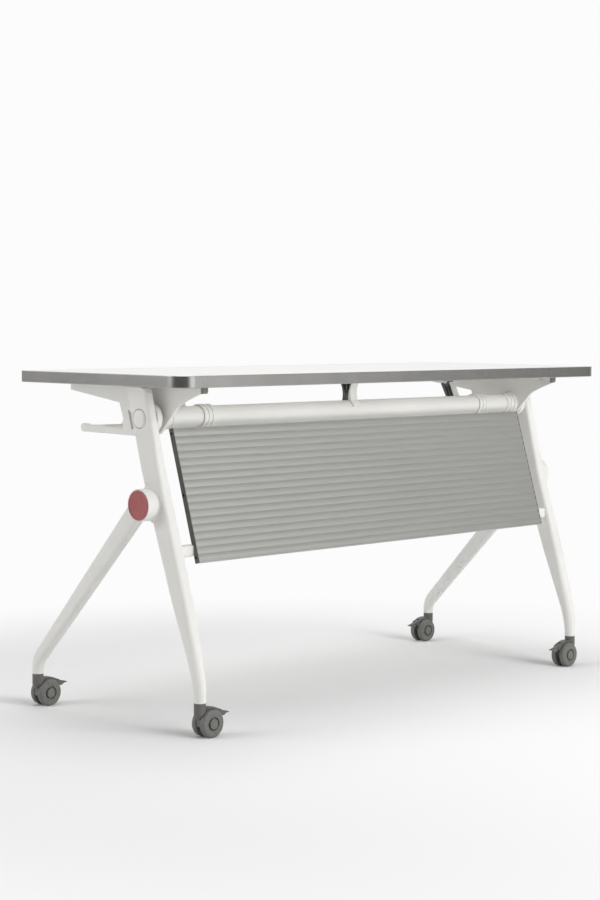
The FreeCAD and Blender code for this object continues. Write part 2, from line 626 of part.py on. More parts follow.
def leg_fittings():
    """Hub bolts and red caps, pivot bolts and plugs, and the caster sockets."""
    hub_bolt = bolt(HUB_POCKET_FLOOR, HUB_BOLT_END, HUB_BOLT_RADIUS, 9.0, 8.0, HUB_Y, HUB_Z)
    pivot_bolt = bolt(PIVOT_POCKET_FLOOR, PIVOT_BOLT_END, PIVOT_BOLT_RADIUS, 8.0, 5.5, AXIS_Y, AXIS_Z)
    export("hub_bolts", hub_bolt, mirrored(hub_bolt))
    export("pivot_bolts", pivot_bolt, mirrored(pivot_bolt))
    seat = HUB_FACE_X - HUB_CAP_SEAT
    crown = HUB_FACE_X + HUB_CAP_RISE
    floor = crown - HUB_CAP_DISH
    rim = HUB_CAP_RADIUS - HUB_CAP_RIM
    edge = HUB_CAP_RADIUS - HUB_CAP_ROUND
    cap = turned(((seat, 0), (((seat, HUB_CAP_RADIUS),), ((crown - HUB_CAP_ROUND, HUB_CAP_RADIUS),),
                              (polar(HUB_CAP_ROUND, 45, crown - HUB_CAP_ROUND, edge), (crown, edge)),
                              ((crown, rim),), ((floor, rim - HUB_CAP_DISH),), ((floor, 0),), ((seat, 0),))),
                 (0, HUB_Y, HUB_Z), (1, 0, 0), (0, 1, 0))
    both_sides("hub_cap", cap)
    stub = PIVOT_CAP_RADIUS - 5.0
    plug = turned(((PIVOT_CAP_BACK, 0), (((PIVOT_CAP_BACK, PIVOT_CAP_RADIUS),),
                                         ((PIVOT_CAP_FACE - 3, PIVOT_CAP_RADIUS),),
                                         ((PIVOT_CAP_FACE - 0.9, PIVOT_CAP_RADIUS - 2.8),
                                          (PIVOT_CAP_FACE, PIVOT_CAP_RADIUS - 9)),
                                         ((PIVOT_CAP_FACE, 0),), ((PIVOT_CAP_BACK, 0),))),
                  (0, AXIS_Y, AXIS_Z), (1, 0, 0), (0, 1, 0))
    skirt = rod_x(PIVOT_POCKET_FLOOR, PIVOT_CAP_BACK, stub)
    skirt = skirt.cut(rod_x(PIVOT_POCKET_FLOOR, PIVOT_CAP_BACK, stub - PIVOT_CAP_WALL))
    both_sides("pivot_cap", plug.fuse(skirt))
    sockets = []
    for x, y in ((FRONT_LEG_X, FRONT_STEM_Y), (REAR_LEG_X, REAR_STEM_Y)):
        sleeve = rod_z(SOCKET_FLANGE_Z, LEG_END_Z, NECK_RADIUS, x, y)
        sleeve = sleeve.fuse(rod_z(LEG_END_Z, SOCKET_TOP_Z, SOCKET_RADIUS, x, y))
        sleeve = sleeve.cut(rod_z(SOCKET_FLANGE_Z, SOCKET_TOP_Z, STEM_RADIUS + RUN_GAP, x, y))
        sockets += [sleeve, mirrored(sleeve)]
    export("caster_sockets", *sockets)


def bag_hook():
    """Hook under the rear wing: slotted strap and a bevelled arm with a raised tip."""
    low, top, tip = HOOK_ARM_LOW, HOOK_ARM_TOP, HOOK_TIP_Y
    heel_top = top + HOOK_HEEL_RISE
    strap_top = UNDERSIDE - 30
    steps = (((tip - 9, low + 2),), ((tip, low + 11), (tip - 9, low + 20)), ((tip - 22, top),),
             ((44.0, heel_top),), ((33.5, heel_top + 3), (27.0, heel_top + 13)),
             ((40.0, strap_top - 11),), ((40.0, strap_top),), ((-10.0, strap_top),), ((HOOK_ROOT_Y, low),))
    hook = plate_x((HOOK_ROOT_Y, low), steps, WING_INNER_X, WEB_OUTER_X)
    slot_low, slot_high = HOOK_SLOT_ENDS
    lean = math.degrees(math.atan2(slot_high[1] - slot_low[1], slot_high[0] - slot_low[0]))
    low_round = [polar(HOOK_SLOT_RADIUS, lean + turn, *slot_low) for turn in (90, 180, 270)]
    high_round = [polar(HOOK_SLOT_RADIUS, lean + turn, *slot_high) for turn in (270, 0, 90)]
    slot = plate_x(low_round[0], (low_round[1:], high_round[:1], high_round[1:], low_round[:1]),
                   WEB_OUTER_X - HOOK_SLOT_DEPTH, WEB_OUTER_X)
    heel = V(WEB_OUTER_X, 28.0, heel_top + 0.5)
    corners = [heel, heel - V(HOOK_BEVEL, 0, 0), heel - V(0, 0, HOOK_BEVEL), V(WEB_OUTER_X, tip - 16, top)]
    faces = [Part.Face(Part.makePolygon([corners[i], corners[j], corners[k], corners[i]]))
             for i, j, k in ((0, 1, 2), (0, 1, 3), (0, 2, 3), (1, 2, 3))]
    bevel = Part.Solid(Part.Shell(faces))
    return hook.cut(slot).cut(bevel)


def flip_bracket():
    """Cast bracket under the worktop: front fin, rear wing with its hook, and the hub on the pivot shaft."""
    wing_edge = (((BRACKET_REAR_Y, UNDERSIDE),), ((BRACKET_REAR_Y, UNDERSIDE - WING_TIP),),
                 ((125.0, UNDERSIDE - 29), (40.0, UNDERSIDE - 41)),
                 ((0.0, UNDERSIDE - 62), (WING_FRONT_Y, UNDERSIDE - 95)))
    fin_edge = (((-70.0, UNDERSIDE - 101), (-93.0, UNDERSIDE - 103.5)), ((-140.0, UNDERSIDE - 53.2),),
                ((-147.5, UNDERSIDE - 45.5), (-156.5, UNDERSIDE - 39.5)),
                ((-187.0, UNDERSIDE - 26), (BRACKET_FRONT_Y, UNDERSIDE - FIN_TIP)),
                ((BRACKET_FRONT_Y, UNDERSIDE),))
    web = plate_x((BRACKET_FRONT_Y, UNDERSIDE), wing_edge + fin_edge, WEB_INNER_X, WEB_OUTER_X)
    wing = plate_x((WING_FRONT_Y, UNDERSIDE), wing_edge + (((WING_FRONT_Y, UNDERSIDE),),),
                   WING_INNER_X, WEB_OUTER_X)
    taper = outline(*ring_profile((WEB_INNER_X, WING_FRONT_Y), (WEB_OUTER_X, WING_FRONT_Y),
                                  (WEB_OUTER_X, BRACKET_REAR_Y), (WING_INNER_X, BRACKET_REAR_Y),
                                  (WING_INNER_X, WING_FULL_Y)), lambda x, y: V(x, y, HOOK_ARM_LOW))
    wing = wing.fuse(bag_hook()).common(taper.extrude(V(0, 0, UNDERSIDE - HOOK_ARM_LOW)))
    flange = block((FLANGE_INNER_X, BRACKET_FRONT_Y, UNDERSIDE - FLANGE_THICKNESS),
                   (WEB_INNER_X, BRACKET_REAR_Y, UNDERSIDE))
    sleeve = rod_x(SLEEVE_START, WEB_INNER_X, SLEEVE_RADIUS)
    groove_end = RING_GROOVE_X + RING_GROOVE_WIDTH
    groove_floor = SLEEVE_RING_RADIUS - RING_GROOVE_DEPTH
    web_middle = (WEB_INNER_X + WEB_OUTER_X) / 2
    round_mid = BOSS_ROUND * (1 - math.sqrt(0.5))
    soft_edge = lambda x, radius: ((x + round_mid, radius - round_mid), (x + BOSS_ROUND, radius))
    hub = turned(((RING_START_X, 0),
                  (((RING_START_X, groove_floor),), ((RING_START_X + RING_GROOVE_DEPTH, SLEEVE_RING_RADIUS),),
                   ((RING_GROOVE_X, SLEEVE_RING_RADIUS),), ((RING_GROOVE_X, groove_floor),),
                   ((groove_end, groove_floor),), ((groove_end, SLEEVE_RING_RADIUS),),
                   ((BOSS_PLATE_X, SLEEVE_RING_RADIUS),), ((BOSS_PLATE_X, BOSS_PLATE_RADIUS - BOSS_ROUND),),
                   soft_edge(BOSS_PLATE_X, BOSS_PLATE_RADIUS),
                   ((web_middle, BOSS_PLATE_RADIUS),), ((web_middle, BOSS_NECK_RADIUS),),
                   ((BOSS_DISC_X, BOSS_NECK_RADIUS),), ((BOSS_DISC_X, BOSS_RADIUS - BOSS_ROUND),),
                   soft_edge(BOSS_DISC_X, BOSS_RADIUS), ((BOSS_FACE_X - BOSS_ROUND, BOSS_RADIUS),),
                   ((BOSS_FACE_X - round_mid, BOSS_RADIUS - round_mid),
                    (BOSS_FACE_X, BOSS_RADIUS - BOSS_ROUND)), ((BOSS_FACE_X, 0),), ((RING_START_X, 0),))),
                 (0, AXIS_Y, AXIS_Z), (1, 0, 0), (0, 1, 0))
    bracket = web.fuse([wing, flange, sleeve, hub])
    bracket = bracket.cut(rod_x(SLEEVE_START, BOSS_FACE_X, BUSH_RADIUS + RUN_GAP))
    for y in BRACKET_SCREW_YS:
        bracket = bracket.cut(rod_z(UNDERSIDE - FLANGE_THICKNESS, UNDERSIDE, SCREW_RADIUS + RUN_GAP,
                                    BRACKET_SCREW_X, y))
    both_sides("flip_bracket", bracket.removeSplitter())
    nose = BRACKET_FRONT_Y - BUMPER_LENGTH
    low = UNDERSIDE - BUMPER_HEIGHT
    pad = plate_x((BRACKET_FRONT_Y, UNDERSIDE), (((BRACKET_FRONT_Y, low),), ((nose + 5, low),),
                                                ((nose + 1.5, low + 1.5), (nose, low + 5)),
                                                ((nose, UNDERSIDE),), ((BRACKET_FRONT_Y, UNDERSIDE),)),
                  BUMPER_INNER_X, BUMPER_OUTER_X)
    both_sides("front_bumper", pad)


def release_handle():
    """Hinged latch handle: mount and pin under the worktop, ribbed core with a tooth, smooth cover."""
    x_from = HANDLE_X - HANDLE_WIDTH / 2
    x_to = HANDLE_X + HANDLE_WIDTH / 2
    ear_z = HINGE_Z - HINGE_BARREL_RADIUS
    seat = UNDERSIDE - MOUNT_PLATE
    mount_from = x_from - EAR_THICKNESS - EAR_GAP
    mount = block((mount_from, HINGE_Y - 12, seat), (x_to + EAR_THICKNESS + EAR_GAP, HINGE_Y + 26, UNDERSIDE))
    for x in (mount_from, x_to + EAR_GAP):
        ear = plate_x((HINGE_Y - 10, seat), (((HINGE_Y - 6, HINGE_Z),),
                                             ((HINGE_Y, ear_z), (HINGE_Y + 6, HINGE_Z)),
                                             ((HINGE_Y + 10, seat),), ((HINGE_Y - 10, seat),)),
                      x, x + EAR_THICKNESS)
        mount = mount.fuse(ear)
    mount = mount.cut(rod_x(x_from - 10, x_to + 10, HINGE_PIN_RADIUS + RUN_GAP, HINGE_Y, HINGE_Z))
    for step in (-MOUNT_SCREW_STEP, MOUNT_SCREW_STEP):
        mount = mount.cut(rod_z(UNDERSIDE - MOUNT_PLATE, UNDERSIDE, SCREW_RADIUS + RUN_GAP,
                                HANDLE_X + step, MOUNT_SCREW_Y))
    both_sides("handle_mount", mount)
    pin = rod_x(x_from - EAR_THICKNESS - 1.5, x_to + EAR_THICKNESS + 1.5, HINGE_PIN_RADIUS, HINGE_Y, HINGE_Z)
    export("handle_pins", pin, mirrored(pin))

    angle = pawl_angle()
    tip = polar(PAWL_TIP_RADIUS, angle)
    heel = polar(PAWL_TIP_RADIUS + 20, angle)
    side = PAWL_TIP_WIDTH / 2
    foot = (heel[0] + 18, heel[1] - 8)
    blade_dir = V(0, HINGE_Y - foot[0], HINGE_Z - foot[1])
    length = blade_dir.Length
    blade_dir.normalize()
    back_dir = V(0, blade_dir.z, -blade_dir.y)

    def on_blade(along, back):
        """Point at a distance up the blade and behind its middle line."""
        return V(x_from, *foot) + blade_dir * along + back_dir * back

    def box_on_blade(alongs, backs):
        """Start and steps of a rectangle on the blade's side."""
        (low, high), (front, rear) = alongs, backs
        return (low, front), (((high, front),), ((high, rear),), ((low, rear),), ((low, front),))

    core = outline((2, BLADE_FRONT), (((length, BLADE_FRONT),), ((length, BLADE_TOP_BACK),),
                                      ((10, BLADE_BACK),), ((1, 9), (-2, 2)), ((2, BLADE_FRONT),)), on_blade)
    core = core.extrude(V(HANDLE_WIDTH, 0, 0))
    for alongs in ((9, 53), (57, length - 12)):
        for backs in ((BLADE_FRONT + 3, -0.5), (2.5, BLADE_BACK - 3)):
            pocket = outline(*box_on_blade(alongs, backs), on_blade).extrude(V(POCKET_DEPTH, 0, 0))
            core = core.cut(pocket)
            pocket.translate(V(HANDLE_WIDTH - POCKET_DEPTH, 0, 0))
            core = core.cut(pocket)
    core = core.fuse(rod_x(x_from, x_to, HINGE_BARREL_RADIUS, HINGE_Y, HINGE_Z))
    across = lambda point, step: polar(step, angle + 90, *point)
    roots = [on_blade(along, BLADE_FRONT + 1) for along in (26, 3)]
    root_high, root_low = [(point.y, point.z) for point in roots]
    tooth = plate_x(across(tip, -side), ((across(tip, side),), (across(heel, side + 2),), (root_high,),
                                         (root_low,), (across(heel, -side - 2),), (across(tip, -side),)),
                    HANDLE_X - PAWL_WIDTH / 2, HANDLE_X + PAWL_WIDTH / 2)
    core = core.fuse(tooth)
    core = core.cut(rod_x(x_from, x_to, HINGE_PIN_RADIUS + RUN_GAP, HINGE_Y, HINGE_Z))
    both_sides("handle_core", core.removeSplitter())
    cover_end = length - HINGE_BARREL_RADIUS - 1
    cover = outline((30, BLADE_FRONT), (((cover_end, BLADE_FRONT),), ((cover_end, BLADE_FRONT - 2),),
                                        ((cover_end / 2 + 15, BLADE_FRONT - 4.5), (30, BLADE_FRONT - 3)),
                                        ((30, BLADE_FRONT),)), on_blade).extrude(V(HANDLE_WIDTH, 0, 0))
    both_sides("handle_cover", cover)


def centre_saddle():
    """Saddle that steadies the worktop on the middle of the beam: ribbed core behind a curved front skin."""
    half = SADDLE_WIDTH / 2
    inner = BEAM_RADIUS + SADDLE_GAP
    outer = inner + SADDLE_SKIN
    waist_z = (UNDERSIDE + AXIS_Z + BEAM_RADIUS) / 2
    lip_start, lip_end = SADDLE_LIP_ANGLES
    lip_turn = lip_start + 25
    front = AXIS_Y - SADDLE_TOP_HALF
    skin_top = (front + SADDLE_SKIN, UNDERSIDE)
    skin_waist = (AXIS_Y - SADDLE_WAIST_HALF + SADDLE_SKIN, waist_z)
    skin = plate_x((front, UNDERSIDE),
                   (((AXIS_Y - SADDLE_WAIST_HALF, waist_z), polar(outer, lip_turn)),
                    (polar(outer, (lip_turn + lip_end) / 2), polar(outer, lip_end)), (polar(inner, lip_end),),
                    (polar(inner, (lip_start + lip_end) / 2), polar(inner, lip_start)),
                    (skin_waist, skin_top), ((front, UNDERSIDE),)), -half, half)
    export("saddle_frame", skin)
    core = plate_x(skin_top, (((AXIS_Y + SADDLE_TOP_HALF, UNDERSIDE),),
                              ((AXIS_Y + SADDLE_WAIST_HALF, waist_z), polar(inner, 50)),
                              (polar(inner, (50 + lip_start) / 2), polar(inner, lip_start)),
                              (skin_waist, skin_top)), -half, half)
    for side in (-1, 1):
        wide = (AXIS_Y + side * (SADDLE_TOP_HALF - 8), UNDERSIDE - 4)
        narrow = (AXIS_Y + side * (SADDLE_WAIST_HALF - 7), waist_z)
        pocket_steps = (((AXIS_Y + side * 1.5, UNDERSIDE - 4),), ((AXIS_Y + side * 1.5, waist_z - 13),),
                        (narrow,), (wide,))
        for start in (-half, half - SADDLE_POCKET):
            core = core.cut(plate_x(wide, pocket_steps, start, start + SADDLE_POCKET))
    export("saddle_core", core)


def caster_wheel(side):
    """Wheel with a rounded tread and a hub disc that stands out of its dished face."""
    disc = WHEEL_DISC_RADIUS
    bore = AXLE_RADIUS + RUN_GAP
    face = WHEEL_FACE
    half = CASTER_WIDTH / 2
    end = AXLE_HALF + 0.3
    profile = ((WHEEL_INNER, bore),
               (((WHEEL_INNER, WHEEL_RADIUS - 3),),
                ((WHEEL_INNER + 0.9, WHEEL_RADIUS - 0.9), (WHEEL_INNER + 3, WHEEL_RADIUS)),
                ((face - 5, WHEEL_RADIUS),), ((face - 1.5, WHEEL_RADIUS - 1.5), (face, WHEEL_RADIUS - 5)),
                ((face, disc + 4),), ((face - WHEEL_DISH, disc + 2.5),), ((face - WHEEL_DISH, disc),),
                ((half - 1, disc),), ((half, disc - 1),), ((half, 0),),
                ((end, 0),), ((end, bore),), ((WHEEL_INNER, bore),)))
    return turned(profile, (CASTER_TRAIL, 0, WHEEL_RADIUS), (0, side, 0), (1, 0, 0))


def caster():
    """Twin-wheel caster about its own stem, with its wheels trailing towards +X."""
    on = lambda x, z: (CASTER_TRAIL + x, WHEEL_RADIUS + z)
    centre = on(0, 0)
    pivot = on(*PEDAL_PIVOT)
    half = CASTER_WIDTH / 2
    wide = HOOD_HALF_WIDTH
    body = plate_y(on(-26.5, -4.5), ((on(-26.5, 20.5),), (on(-8, 35.0),), (on(10, 33.4), on(26, 27.2)),
                                     (on(33, 19),), (on(27, 13),), (on(14, -7.5),), (on(-10, -12.5),),
                                     (on(-26.5, -4.5),)), -wide, wide)
    body = body.fuse([rod_z(NECK_LOW_Z, NECK_TOP_Z, NECK_RADIUS, 0, 0),
                      Part.makeCone(NECK_TIP_RADIUS, NECK_RADIUS, NECK_LOW_Z - NECK_TIP_Z,
                                    V(0, 0, NECK_TIP_Z)),
                      rod_y(-WEB_HALF, WEB_HALF, AXLE_BOSS_RADIUS, *centre),
                      rod_y(-wide, wide, PEDAL_EAR_RADIUS, *pivot)])
    for start in (-half - 1, WEB_HALF):
        body = body.cut(rod_y(start, start + half + 1 - WEB_HALF, WHEEL_RADIUS + HOOD_GAP, *centre))
    slot_x, slot_z = on(*PEDAL_SLOT_LOW)
    slot = block((slot_x, -PEDAL_SLOT_HALF, slot_z), (slot_x + half, PEDAL_SLOT_HALF, slot_z + half + 10))
    throat = block((slot_x, -WEB_HALF, slot_z), (slot_x + half, WEB_HALF, slot_z + half))
    throat = throat.common(rod_y(-WEB_HALF, WEB_HALF, WHEEL_RADIUS + HOOD_GAP, *centre))
    body = body.cut(slot).cut(throat)
    body = body.fuse(rod_z(NECK_TOP_Z, STEM_TOP_Z, STEM_RADIUS, 0, 0))
    body = body.cut(rod_y(-WEB_HALF, WEB_HALF, AXLE_RADIUS + RUN_GAP, *centre))
    body = body.cut(rod_y(-half, half, TRUNNION_RADIUS + RUN_GAP, *pivot))
    axle = rod_y(-AXLE_HALF, AXLE_HALF, AXLE_RADIUS, *centre)
    pedal = plate_y(on(22, 28.6), ((on(28, 26.0),), (on(40, 21.2), on(55.5, 17.5)),
                                   (on(56.5, 16.5), on(55.3, 15.5)), (on(48, 14.4), on(43, 11)),
                                   (on(37, 10.5),), (on(25, 15.5),), (on(22, 28.6),)),
                    -PEDAL_HALF_WIDTH, PEDAL_HALF_WIDTH)
    pedal = pedal.fuse([rod_y(-PEDAL_HALF_WIDTH, PEDAL_HALF_WIDTH, PEDAL_BARREL_RADIUS, *pivot),
                        rod_y(-wide, wide, TRUNNION_RADIUS, *pivot)])
    return {"caster_housing": body.removeSplitter(), "caster_axle": axle, "front_wheel": caster_wheel(-1),
            "rear_wheel": caster_wheel(1), "brake_pedal": pedal.removeSplitter()}


def casters():
    """A caster under each of the four legs, trailing towards the middle of the desk."""
    pieces = caster()
    for end, x, y in (("front", FRONT_LEG_X, FRONT_STEM_Y), ("rear", REAR_LEG_X, REAR_STEM_Y)):
        for name, piece in pieces.items():
            left = piece.copy()
            left.translate(V(-x, y, 0))
            node = "%s_%s" % (end, name)
            export("left_" + node, left)
            export("right_" + node, mirrored(left))


worktop()
beam()
index_collar()
modesty_panel()
front_leg()
rear_leg()
leg_fittings()
flip_bracket()
release_handle()
centre_saddle()
casters()
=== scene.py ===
"""Looks of the flip-top folding desk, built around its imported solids, in metres."""
import json
import math

import bmesh
import bpy
from mathutils import Matrix, Vector


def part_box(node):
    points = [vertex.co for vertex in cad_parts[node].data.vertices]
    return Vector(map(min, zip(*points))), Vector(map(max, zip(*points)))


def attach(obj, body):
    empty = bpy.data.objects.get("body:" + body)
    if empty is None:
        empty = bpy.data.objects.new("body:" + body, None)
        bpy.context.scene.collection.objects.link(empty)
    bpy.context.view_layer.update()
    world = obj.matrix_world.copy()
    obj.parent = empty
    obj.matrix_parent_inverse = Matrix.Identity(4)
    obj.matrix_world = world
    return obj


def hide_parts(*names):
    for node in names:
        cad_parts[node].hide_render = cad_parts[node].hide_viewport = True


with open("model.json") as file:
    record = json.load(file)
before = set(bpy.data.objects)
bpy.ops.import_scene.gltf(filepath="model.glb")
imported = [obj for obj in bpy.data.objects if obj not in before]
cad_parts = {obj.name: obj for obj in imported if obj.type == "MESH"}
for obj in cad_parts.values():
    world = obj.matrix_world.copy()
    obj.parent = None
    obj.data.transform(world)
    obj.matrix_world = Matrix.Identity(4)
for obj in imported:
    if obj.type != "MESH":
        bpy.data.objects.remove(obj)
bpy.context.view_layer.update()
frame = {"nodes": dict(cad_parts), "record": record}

CORNERS = [side + end for side in ("left_", "right_") for end in ("front", "rear")]

# Lower end of the legs, where the caster sockets begin
LEG_END = 0.074

# Pan-head screws under the worktop: the brackets' and handle mounts' rows
BRACKET_SCREW_X = 0.5785
BRACKET_SCREW_YS = (-0.190, -0.110, 0.060, 0.180)
BRACKET_SCREW_SEAT = 0.719
MOUNT_SCREW_XS = (0.4545, 0.4685)
MOUNT_SCREW_Y = 0.033
MOUNT_SCREW_SEAT = 0.721

# The screw heads' own sizes
SCREW_HEAD_RADIUS = 0.0045
SCREW_HEAD_HEIGHT = 0.0026
SCREW_HEAD_FACETS = 36
SCREW_CROWN = 0.0014
SCREW_CROWN_STEPS = 5
SCREW_SOCKET_WALL = 0.0011
SCREW_SOCKET_DEPTH = 0.0012
SCREW_LOBES = 6
SCREW_LOBE_SHARE = 0.16

# Grip ribs across the brake pedals, by distance and height from the wheels' centre
PEDAL_RIB_PLACES = ((0.043, 0.0202), (0.047, 0.0191), (0.051, 0.0182))
PEDAL_RIB_RADIUS = 0.0008
PEDAL_RIB_LENGTH = 0.0076
PEDAL_RIB_FACETS = 16
PEDAL_RIB_ROUNDING = 0.6 * PEDAL_RIB_RADIUS
PEDAL_RIB_ROUNDING_STEPS = 3
# The ribs' end faces look along the ribs at least this squarely
RIB_END_FACING = 0.9

# Faces that meet at less than this angle are shaded as one
SOFT_ANGLE = math.radians(35)

# Camera, found from the photograph's straight edges and caster stems
CAMERA_PLACE = (-3.325, -3.230, 0.869)
CAMERA_YAW = math.radians(45.11)
CAMERA_PITCH = math.radians(3.86)
CAMERA_ROLL = math.radians(0.27)
# Focal length as a share of the picture's height, both in pixels
CAMERA_FOCUS = 1965 / 900
SENSOR_HEIGHT_MM = 36

# White of the empty studio, as the camera sees it
BACKDROP = "#FCFCFC"

# The studio is dark in one direction, behind the camera: how squarely a ray faces it, and the light there
ROOM_OPENING = (-0.71, -0.69, 0.12)
OPENING_FACING = (0.44, 0.82)
OPENING_LIGHT = (0.46, 0.09)

# Shiny faces see its brightest wall, in front of the desk
BRIGHT_WALL = (0.34, -0.94, 0.0)
WALL_FACING = (0.85, 1.0)
WALL_GAIN = (1.5, 4.7)

# They see it brighter above than below
LIFT_SLOPE = (-0.15, 0.45)
LIFT_GAIN = (0.5, 1.3)

# Angle from the front, to the right, at which the bright walls leave a dim gap, and how wide and dim it is
WALL_GAP = 1.05
GAP_HALF_WIDTH = (0.07, 0.35)
GAP_GAIN = (0.36, 1.0)

# Floor sheet: half its side, the spot round which it fades to the backdrop, and the span toward the opening
# over which it is painted dark, as painted shade where the room's light falls off
FLOOR_REACH = 4
FLOOR_MIDDLE = (-0.2, -0.3, 0)
FLOOR_FADE = (0.85, 1.9)
FLOOR_SHADE_SPAN = (2.1, 2.6)
FLOOR_PALE = "#EFEFEF"
# Dark tone of the floor's painted shade toward the opening
FLOOR_PAINTED_SHADE = "#2E2E2E"

# White powder coat and grey nylon, each in two close tones
COAT_TONES = ("#F1F0EC", "#ECEBE7")
NYLON_TONES = ("#6E6D6A", "#62615E")

# Depths of relief are given in this unit
MILLIMETRE = 0.001

# Mouldings are this much rougher and smoother in places than on average
MOULDED_ROUGH_SPREAD = 0.05

# Nearly all values of a noise pattern lie in this range
NOISE_RANGE = (0.3, 0.7)

# Some sockets share their name, and are told apart by their place: operands, and those of the mixing nodes
OPERAND_A = 0
OPERAND_B = 1
MIX_SHARE = 0
NUMBER_A = 2
NUMBER_B = 3
NUMBER_MIXED = 0
COLOUR_A = 6
COLOUR_B = 7
COLOUR_MIXED = 2
SHADER_A = 1
SHADER_B = 2


def linear(colour):
    """sRGB hex colour as linear red, green, blue and alpha."""
    parts = [int(colour[i:i + 2], 16) / 255 for i in (1, 3, 5)]
    return [c / 12.92 if c <= 0.04045 else ((c + 0.055) / 1.055) ** 2.4 for c in parts] + [1.0]


def per_metre(millimetres):
    """Pattern scale whose features are about this many millimetres wide."""
    return 1000 / millimetres


def between(tones):
    """Settings of a mix between two hex colours."""
    first, second = tones
    return {"data_type": "RGBA", COLOUR_A: linear(first), COLOUR_B: linear(second)}


def mapped(given, wanted, way="LINEAR"):
    """Settings that turn one range of values into another."""
    return {"interpolation_type": way, "From Min": given[0], "From Max": given[1],
            "To Min": wanted[0], "To Max": wanted[1]}


def add(tree, kind, settings=None, links=None):
    """Adds a node with its settings and with links to its inputs, and gives back the node."""
    node = tree.nodes.new(kind)
    for name, value in (settings or {}).items():
        if isinstance(name, str) and hasattr(node, name):
            setattr(node, name, value)
        else:
            node.inputs[name].default_value = value
    for name, output in (links or {}).items():
        tree.links.new(output, node.inputs[name])
    return node


def new_material(name):
    """Empty node material with its object coordinates in metres."""
    material = bpy.data.materials.new(name)
    material.use_nodes = True
    tree = material.node_tree
    tree.nodes.clear()
    return material, tree, add(tree, "ShaderNodeTexCoord").outputs["Object"]


def cloudy(tree, at, millimetres, low=0.0, high=1.0, detail=2.0):
    """Soft random value between low and high, in patches of about this size."""
    noise = add(tree, "ShaderNodeTexNoise", {"Scale": per_metre(millimetres), "Detail": detail},
                {"Vector": at})
    patches = add(tree, "ShaderNodeMapRange", mapped(NOISE_RANGE, (low, high)),
                  {"Value": noise.outputs["Fac"]})
    return patches.outputs["Result"]


def surface(tree, settings, colour, roughness, relief=None):
    """Shader with a colour mix, a roughness and a relief, joined to the material's output."""
    links = {"Base Color": colour.outputs[COLOUR_MIXED], "Roughness": roughness}
    if relief is not None:
        links["Normal"] = relief.outputs["Normal"]
    shader = add(tree, "ShaderNodeBsdfPrincipled", settings, links)
    add(tree, "ShaderNodeOutputMaterial", links={"Surface": shader.outputs["BSDF"]})


def white_melamine():
    """Pressed melamine on particle board: near white and satin, with the press plate's faint pearl grain."""
    material, tree, at = new_material("pressed_white_melamine")
    colour = add(tree, "ShaderNodeMix", between(("#F1F1EF", "#ECECE9")),
                 {MIX_SHARE: cloudy(tree, at, 9, detail=4)})
    # A real press plate's grain is 0.3 mm wide, drawn at 2 mm so that it shows
    grain = cloudy(tree, at, 2, detail=3)
    relief = add(tree, "ShaderNodeBump", {"Strength": 0.12, "Distance": 0.05 * MILLIMETRE}, {"Height": grain})
    roughness = cloudy(tree, at, 2, low=0.36, high=0.46, detail=3)
    surface(tree, {"IOR": 1.5, "Specular IOR Level": 0.45}, colour, roughness, relief)
    return material


def grey_edge_band():
    """Extruded edge band in silver grey PVC: metal flakes mirror the room softly at its rounded corners."""
    material, tree, at = new_material("extruded_silver_grey_pvc_band")
    colour = add(tree, "ShaderNodeMix", between(("#B4B3B0", "#ADACA9")), {MIX_SHARE: cloudy(tree, at, 60)})
    # The die leaves streaks along the band, twelve times as long as they are high
    streaks = add(tree, "ShaderNodeMapping", {"Scale": (1, 1, 12)}, {"Vector": at}).outputs["Vector"]
    relief = add(tree, "ShaderNodeBump", {"Strength": 0.05, "Distance": 0.05 * MILLIMETRE},
                 {"Height": cloudy(tree, streaks, 6)})
    surface(tree, {"Metallic": 0.9}, colour, cloudy(tree, streaks, 8, low=0.20, high=0.26), relief)
    return material


def white_powder_coat(name):
    """Baked polyester powder coat: warm white, satin, with the soft orange peel of the melt."""
    material, tree, at = new_material(name)
    colour = add(tree, "ShaderNodeMix", between(COAT_TONES), {MIX_SHARE: cloudy(tree, at, 140)})
    # Orange peel of a real coat is 1 mm wide, drawn at 3 mm so that it shows
    peel = cloudy(tree, at, 3, detail=1)
    relief = add(tree, "ShaderNodeBump", {"Strength": 0.10, "Distance": 0.06 * MILLIMETRE}, {"Height": peel})
    roughness = cloudy(tree, at, 25, low=0.34, high=0.44)
    surface(tree, {"IOR": 1.5, "Specular IOR Level": 0.5}, colour, roughness, relief)
    return material


def silver_coat():
    """Rolled aluminium sheet with a silver coat: satin, with fine flakes and drawn lines along the ribs."""
    material, tree, at = new_material("silver_coated_aluminium_sheet")
    # Rolling draws the pattern out along the sheet, fifty times as long as it is high
    drawn = add(tree, "ShaderNodeMapping", {"Scale": (0.02, 1, 1)}, {"Vector": at}).outputs["Vector"]
    # Real lines are 0.3 mm wide, drawn at 1.5 mm so that they show
    lines = cloudy(tree, drawn, 1.5, detail=4)
    colour = add(tree, "ShaderNodeMix", between(("#B8B8B4", "#AFAFAB")), {MIX_SHARE: lines})
    relief = add(tree, "ShaderNodeBump", {"Strength": 0.06, "Distance": 0.05 * MILLIMETRE}, {"Height": lines})
    surface(tree, {"Metallic": 0.6}, colour, cloudy(tree, drawn, 4, low=0.28, high=0.36), relief)
    return material


def zinc_plated_steel():
    """Turned steel with bright zinc: pale grey metal with a faint blue cast and a fine grain."""
    material, tree, at = new_material("zinc_plated_turned_steel")
    colour = add(tree, "ShaderNodeMix", between(("#BFC1C4", "#B1B2B3")), {MIX_SHARE: cloudy(tree, at, 6)})
    # Real turning marks are 0.2 mm apart, drawn as an even grain of 0.8 mm so that they show
    relief = add(tree, "ShaderNodeBump", {"Strength": 0.1, "Distance": 0.03 * MILLIMETRE},
                 {"Height": cloudy(tree, at, 0.8)})
    surface(tree, {"Metallic": 1.0}, colour, cloudy(tree, at, 1.5, low=0.25, high=0.38), relief)
    return material


